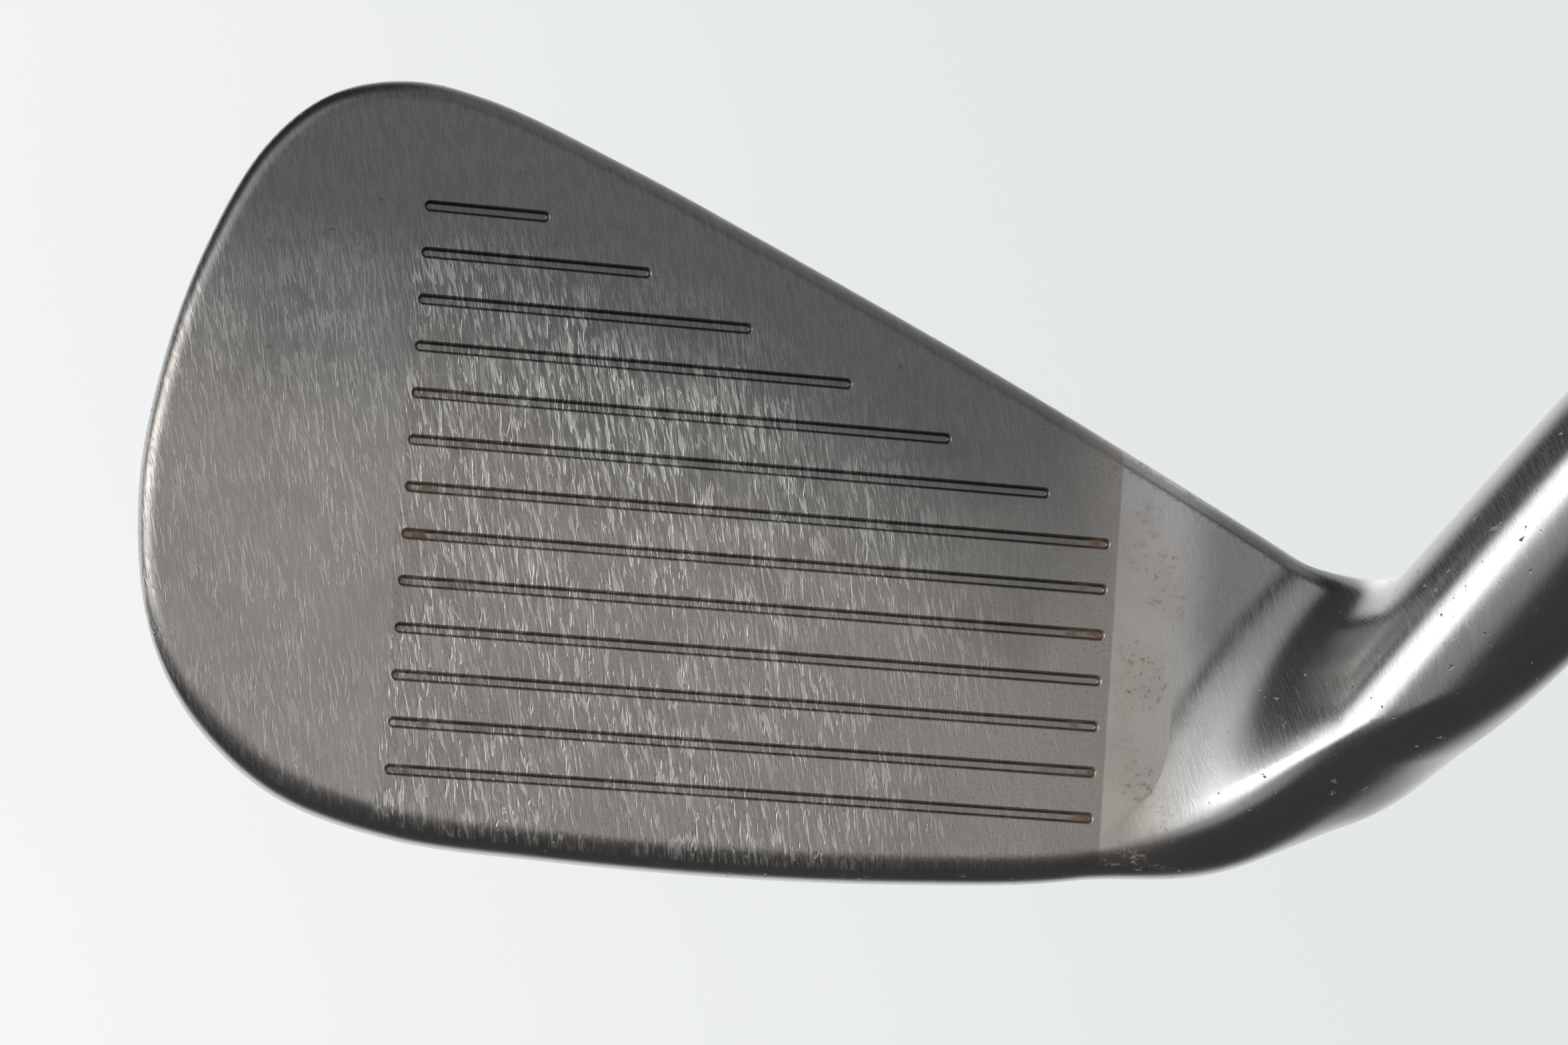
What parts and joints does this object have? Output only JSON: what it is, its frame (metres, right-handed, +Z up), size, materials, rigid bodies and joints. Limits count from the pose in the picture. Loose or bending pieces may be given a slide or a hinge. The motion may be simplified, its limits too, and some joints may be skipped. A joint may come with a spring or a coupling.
{
  "type": "iron golf club",
  "caption": "Right-handed mid iron: grooved face on a forged hollow head, stepped steel shaft with ferrule, tapered rubber grip.",
  "frame": {"origin": "ground point under the middle of the score lines, in the shaft's own plane, with the club soled at address", "axes": "+X from toe to heel, +Y to the rear (the face looks to -Y and up by its loft), +Z up; the shaft leans in the XZ plane"},
  "size_m": [0.5341, 0.0442, 0.8392],
  "materials": {
    "forged_steel": "worn satin chrome over forged carbon steel",
    "face_steel": "blasted, then scratched by play",
    "foam": "closed-cell foam",
    "weight_metal": "sintered tungsten alloy",
    "screw_steel": "machined stainless",
    "washer_brass": "machined",
    "badge_aluminium": "dark anodised, brushed",
    "adhesive_tape": "double-sided tape",
    "epoxy": "cured",
    "shaft_chrome": "bright, finely scratched",
    "band_film": "plain printed film",
    "ferrule_plastic": "turned and buffed",
    "ring_metal": "turned",
    "grip_rubber": "moulded, textured",
    "cap_rubber": "moulded, hard"
  },
  "bodies": {
    "root": {"head_body": "forged_steel", "face_plate": "face_steel", "core_foam": "foam", "toe_weight": "weight_metal", "port_screw": "screw_steel", "port_washer": "washer_brass", "back_badge": "badge_aluminium", "badge_tape": "adhesive_tape", "hosel_epoxy": "epoxy", "shaft": "shaft_chrome", "tip_weight": "washer_brass", "tip_plug": "foam", "shaft_band": "band_film", "ferrule": "ferrule_plastic", "ferrule_ring_lower": "ring_metal", "ferrule_ring_upper": "ring_metal", "grip_tape": "adhesive_tape", "grip_sleeve": "grip_rubber", "grip_cap": "cap_rubber"}
  },
  "joints": []
}
